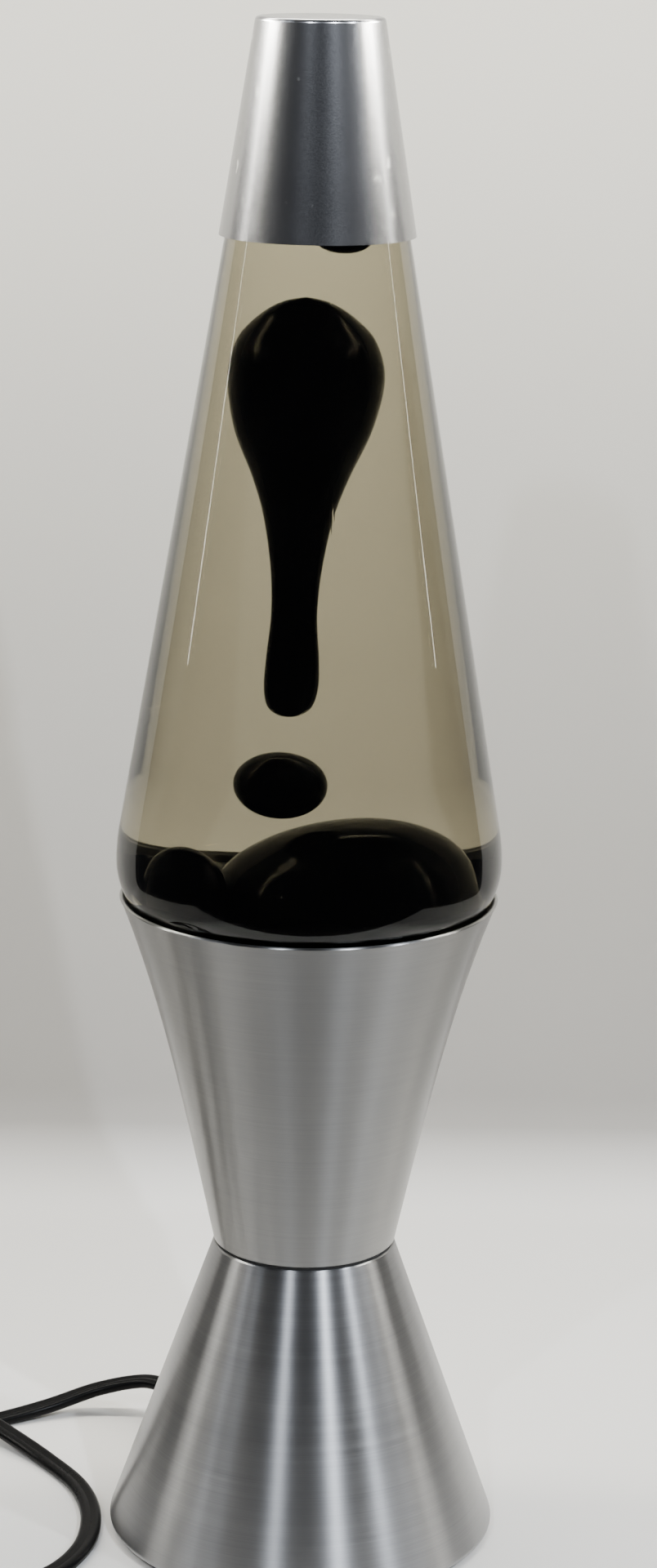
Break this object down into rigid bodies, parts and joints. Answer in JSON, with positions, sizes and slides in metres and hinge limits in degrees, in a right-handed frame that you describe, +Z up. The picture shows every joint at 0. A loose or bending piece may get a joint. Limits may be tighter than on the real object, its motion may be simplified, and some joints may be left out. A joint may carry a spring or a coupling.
{
  "type": "lava lamp",
  "caption": "Lava lamp: tapered glass bottle of liquid and dark wax on an hourglass brushed-aluminium base, with a lift-off metal cap, bulb, and cord with in-line switch.",
  "frame": {"origin": "centre of the base's foot, on the surface the lamp stands on", "axes": "+Z up along the lamp's axis; the cord leaves the back of the base towards +Y and -X; -Y is the side seen first"},
  "size_m": [0.2443, 0.1264, 0.368],
  "materials": {
    "cap_metal": "satin bead-blasted",
    "bottle_glass": "clear moulded glass",
    "crown_steel": "plain crimped steel",
    "liner": "soft liner",
    "liquid": "pale straw liquid",
    "wax": "black wax, wet",
    "spring_steel": "wound spring wire",
    "brushed_aluminium": "spun and brushed round",
    "gasket": "matte black",
    "socket_plastic": "moulded phenolic",
    "zinc": "zinc plated",
    "socket_brass": "pressed brass",
    "bulb_glass": "clear blown glass",
    "bulb_stem_glass": "pressed glass",
    "bulb_wire": "drawn wire",
    "bulb_brass": "rolled brass thread",
    "bulb_black_glass": "black glass",
    "solder": "solder",
    "plate_paint": "black painted steel",
    "foot_rubber": "matte black",
    "cord_vinyl": "black vinyl",
    "tie_strap": "woven strap",
    "switch_plastic": "black moulded",
    "rocker_plastic": "black moulded",
    "plug_vinyl": "black moulded vinyl",
    "blade_brass": "rolled brass"
  },
  "bodies": {
    "base": {"upper_shell": "brushed_aluminium", "lower_shell": "brushed_aluminium", "waist_gasket": "gasket", "socket_body": "socket_plastic", "socket_nut": "zinc", "socket_shell": "socket_brass", "socket_contact": "socket_brass", "socket_terminals": "socket_brass", "base_plate": "plate_paint", "plate_brackets": "zinc", "plate_screws": "zinc", "foot_ring": "foot_rubber", "cord_bushing": "cord_vinyl", "wire_leads": "cord_vinyl", "cord_lead": "cord_vinyl", "cord_link": "cord_vinyl", "cord_tail": "cord_vinyl", "cord_coil": "cord_vinyl", "cord_tie": "tie_strap", "switch_lower": "switch_plastic", "switch_upper": "switch_plastic", "switch_pin": "zinc", "switch_screws": "zinc", "switch_contacts": "socket_brass", "plug_body": "plug_vinyl", "plug_blades": "blade_brass"},
    "bulb": {"bulb_glass": "bulb_glass", "bulb_stem": "bulb_stem_glass", "bulb_leads": "bulb_wire", "bulb_filament": "bulb_wire", "bulb_base": "bulb_brass", "bulb_insulator": "bulb_black_glass", "bulb_contact": "solder"},
    "bottle": {"bottle_glass": "bottle_glass", "bottle_closure": "crown_steel", "closure_liner": "liner", "liquid": "liquid", "wax_mass": "wax", "wax_drop": "wax", "wax_bubble": "wax", "wax_film": "wax", "heating_coil": "spring_steel"},
    "cap": {"cap": "cap_metal"},
    "rocker": {"switch_rocker": "rocker_plastic"}
  },
  "joints": [
    {"name": "bottle_lift", "type": "slide", "parent": "base", "child": "bottle", "axis": [0, 0, 1], "range_m": [0, 0.12]},
    {"name": "cap_lift", "type": "slide", "parent": "bottle", "child": "cap", "axis": [0, 0, 1], "range_m": [0, 0.08]},
    {"name": "bulb_unscrew", "type": "slide", "parent": "base", "child": "bulb", "axis": [0, 0, 1], "range_m": [0, 0.018]},
    {"name": "switch_rock", "type": "hinge", "parent": "base", "child": "rocker", "pos_m": [-0.141, 0.069, 0.0105], "axis": [0, 1, 0], "range_deg": [-16, 0]}
  ]
}
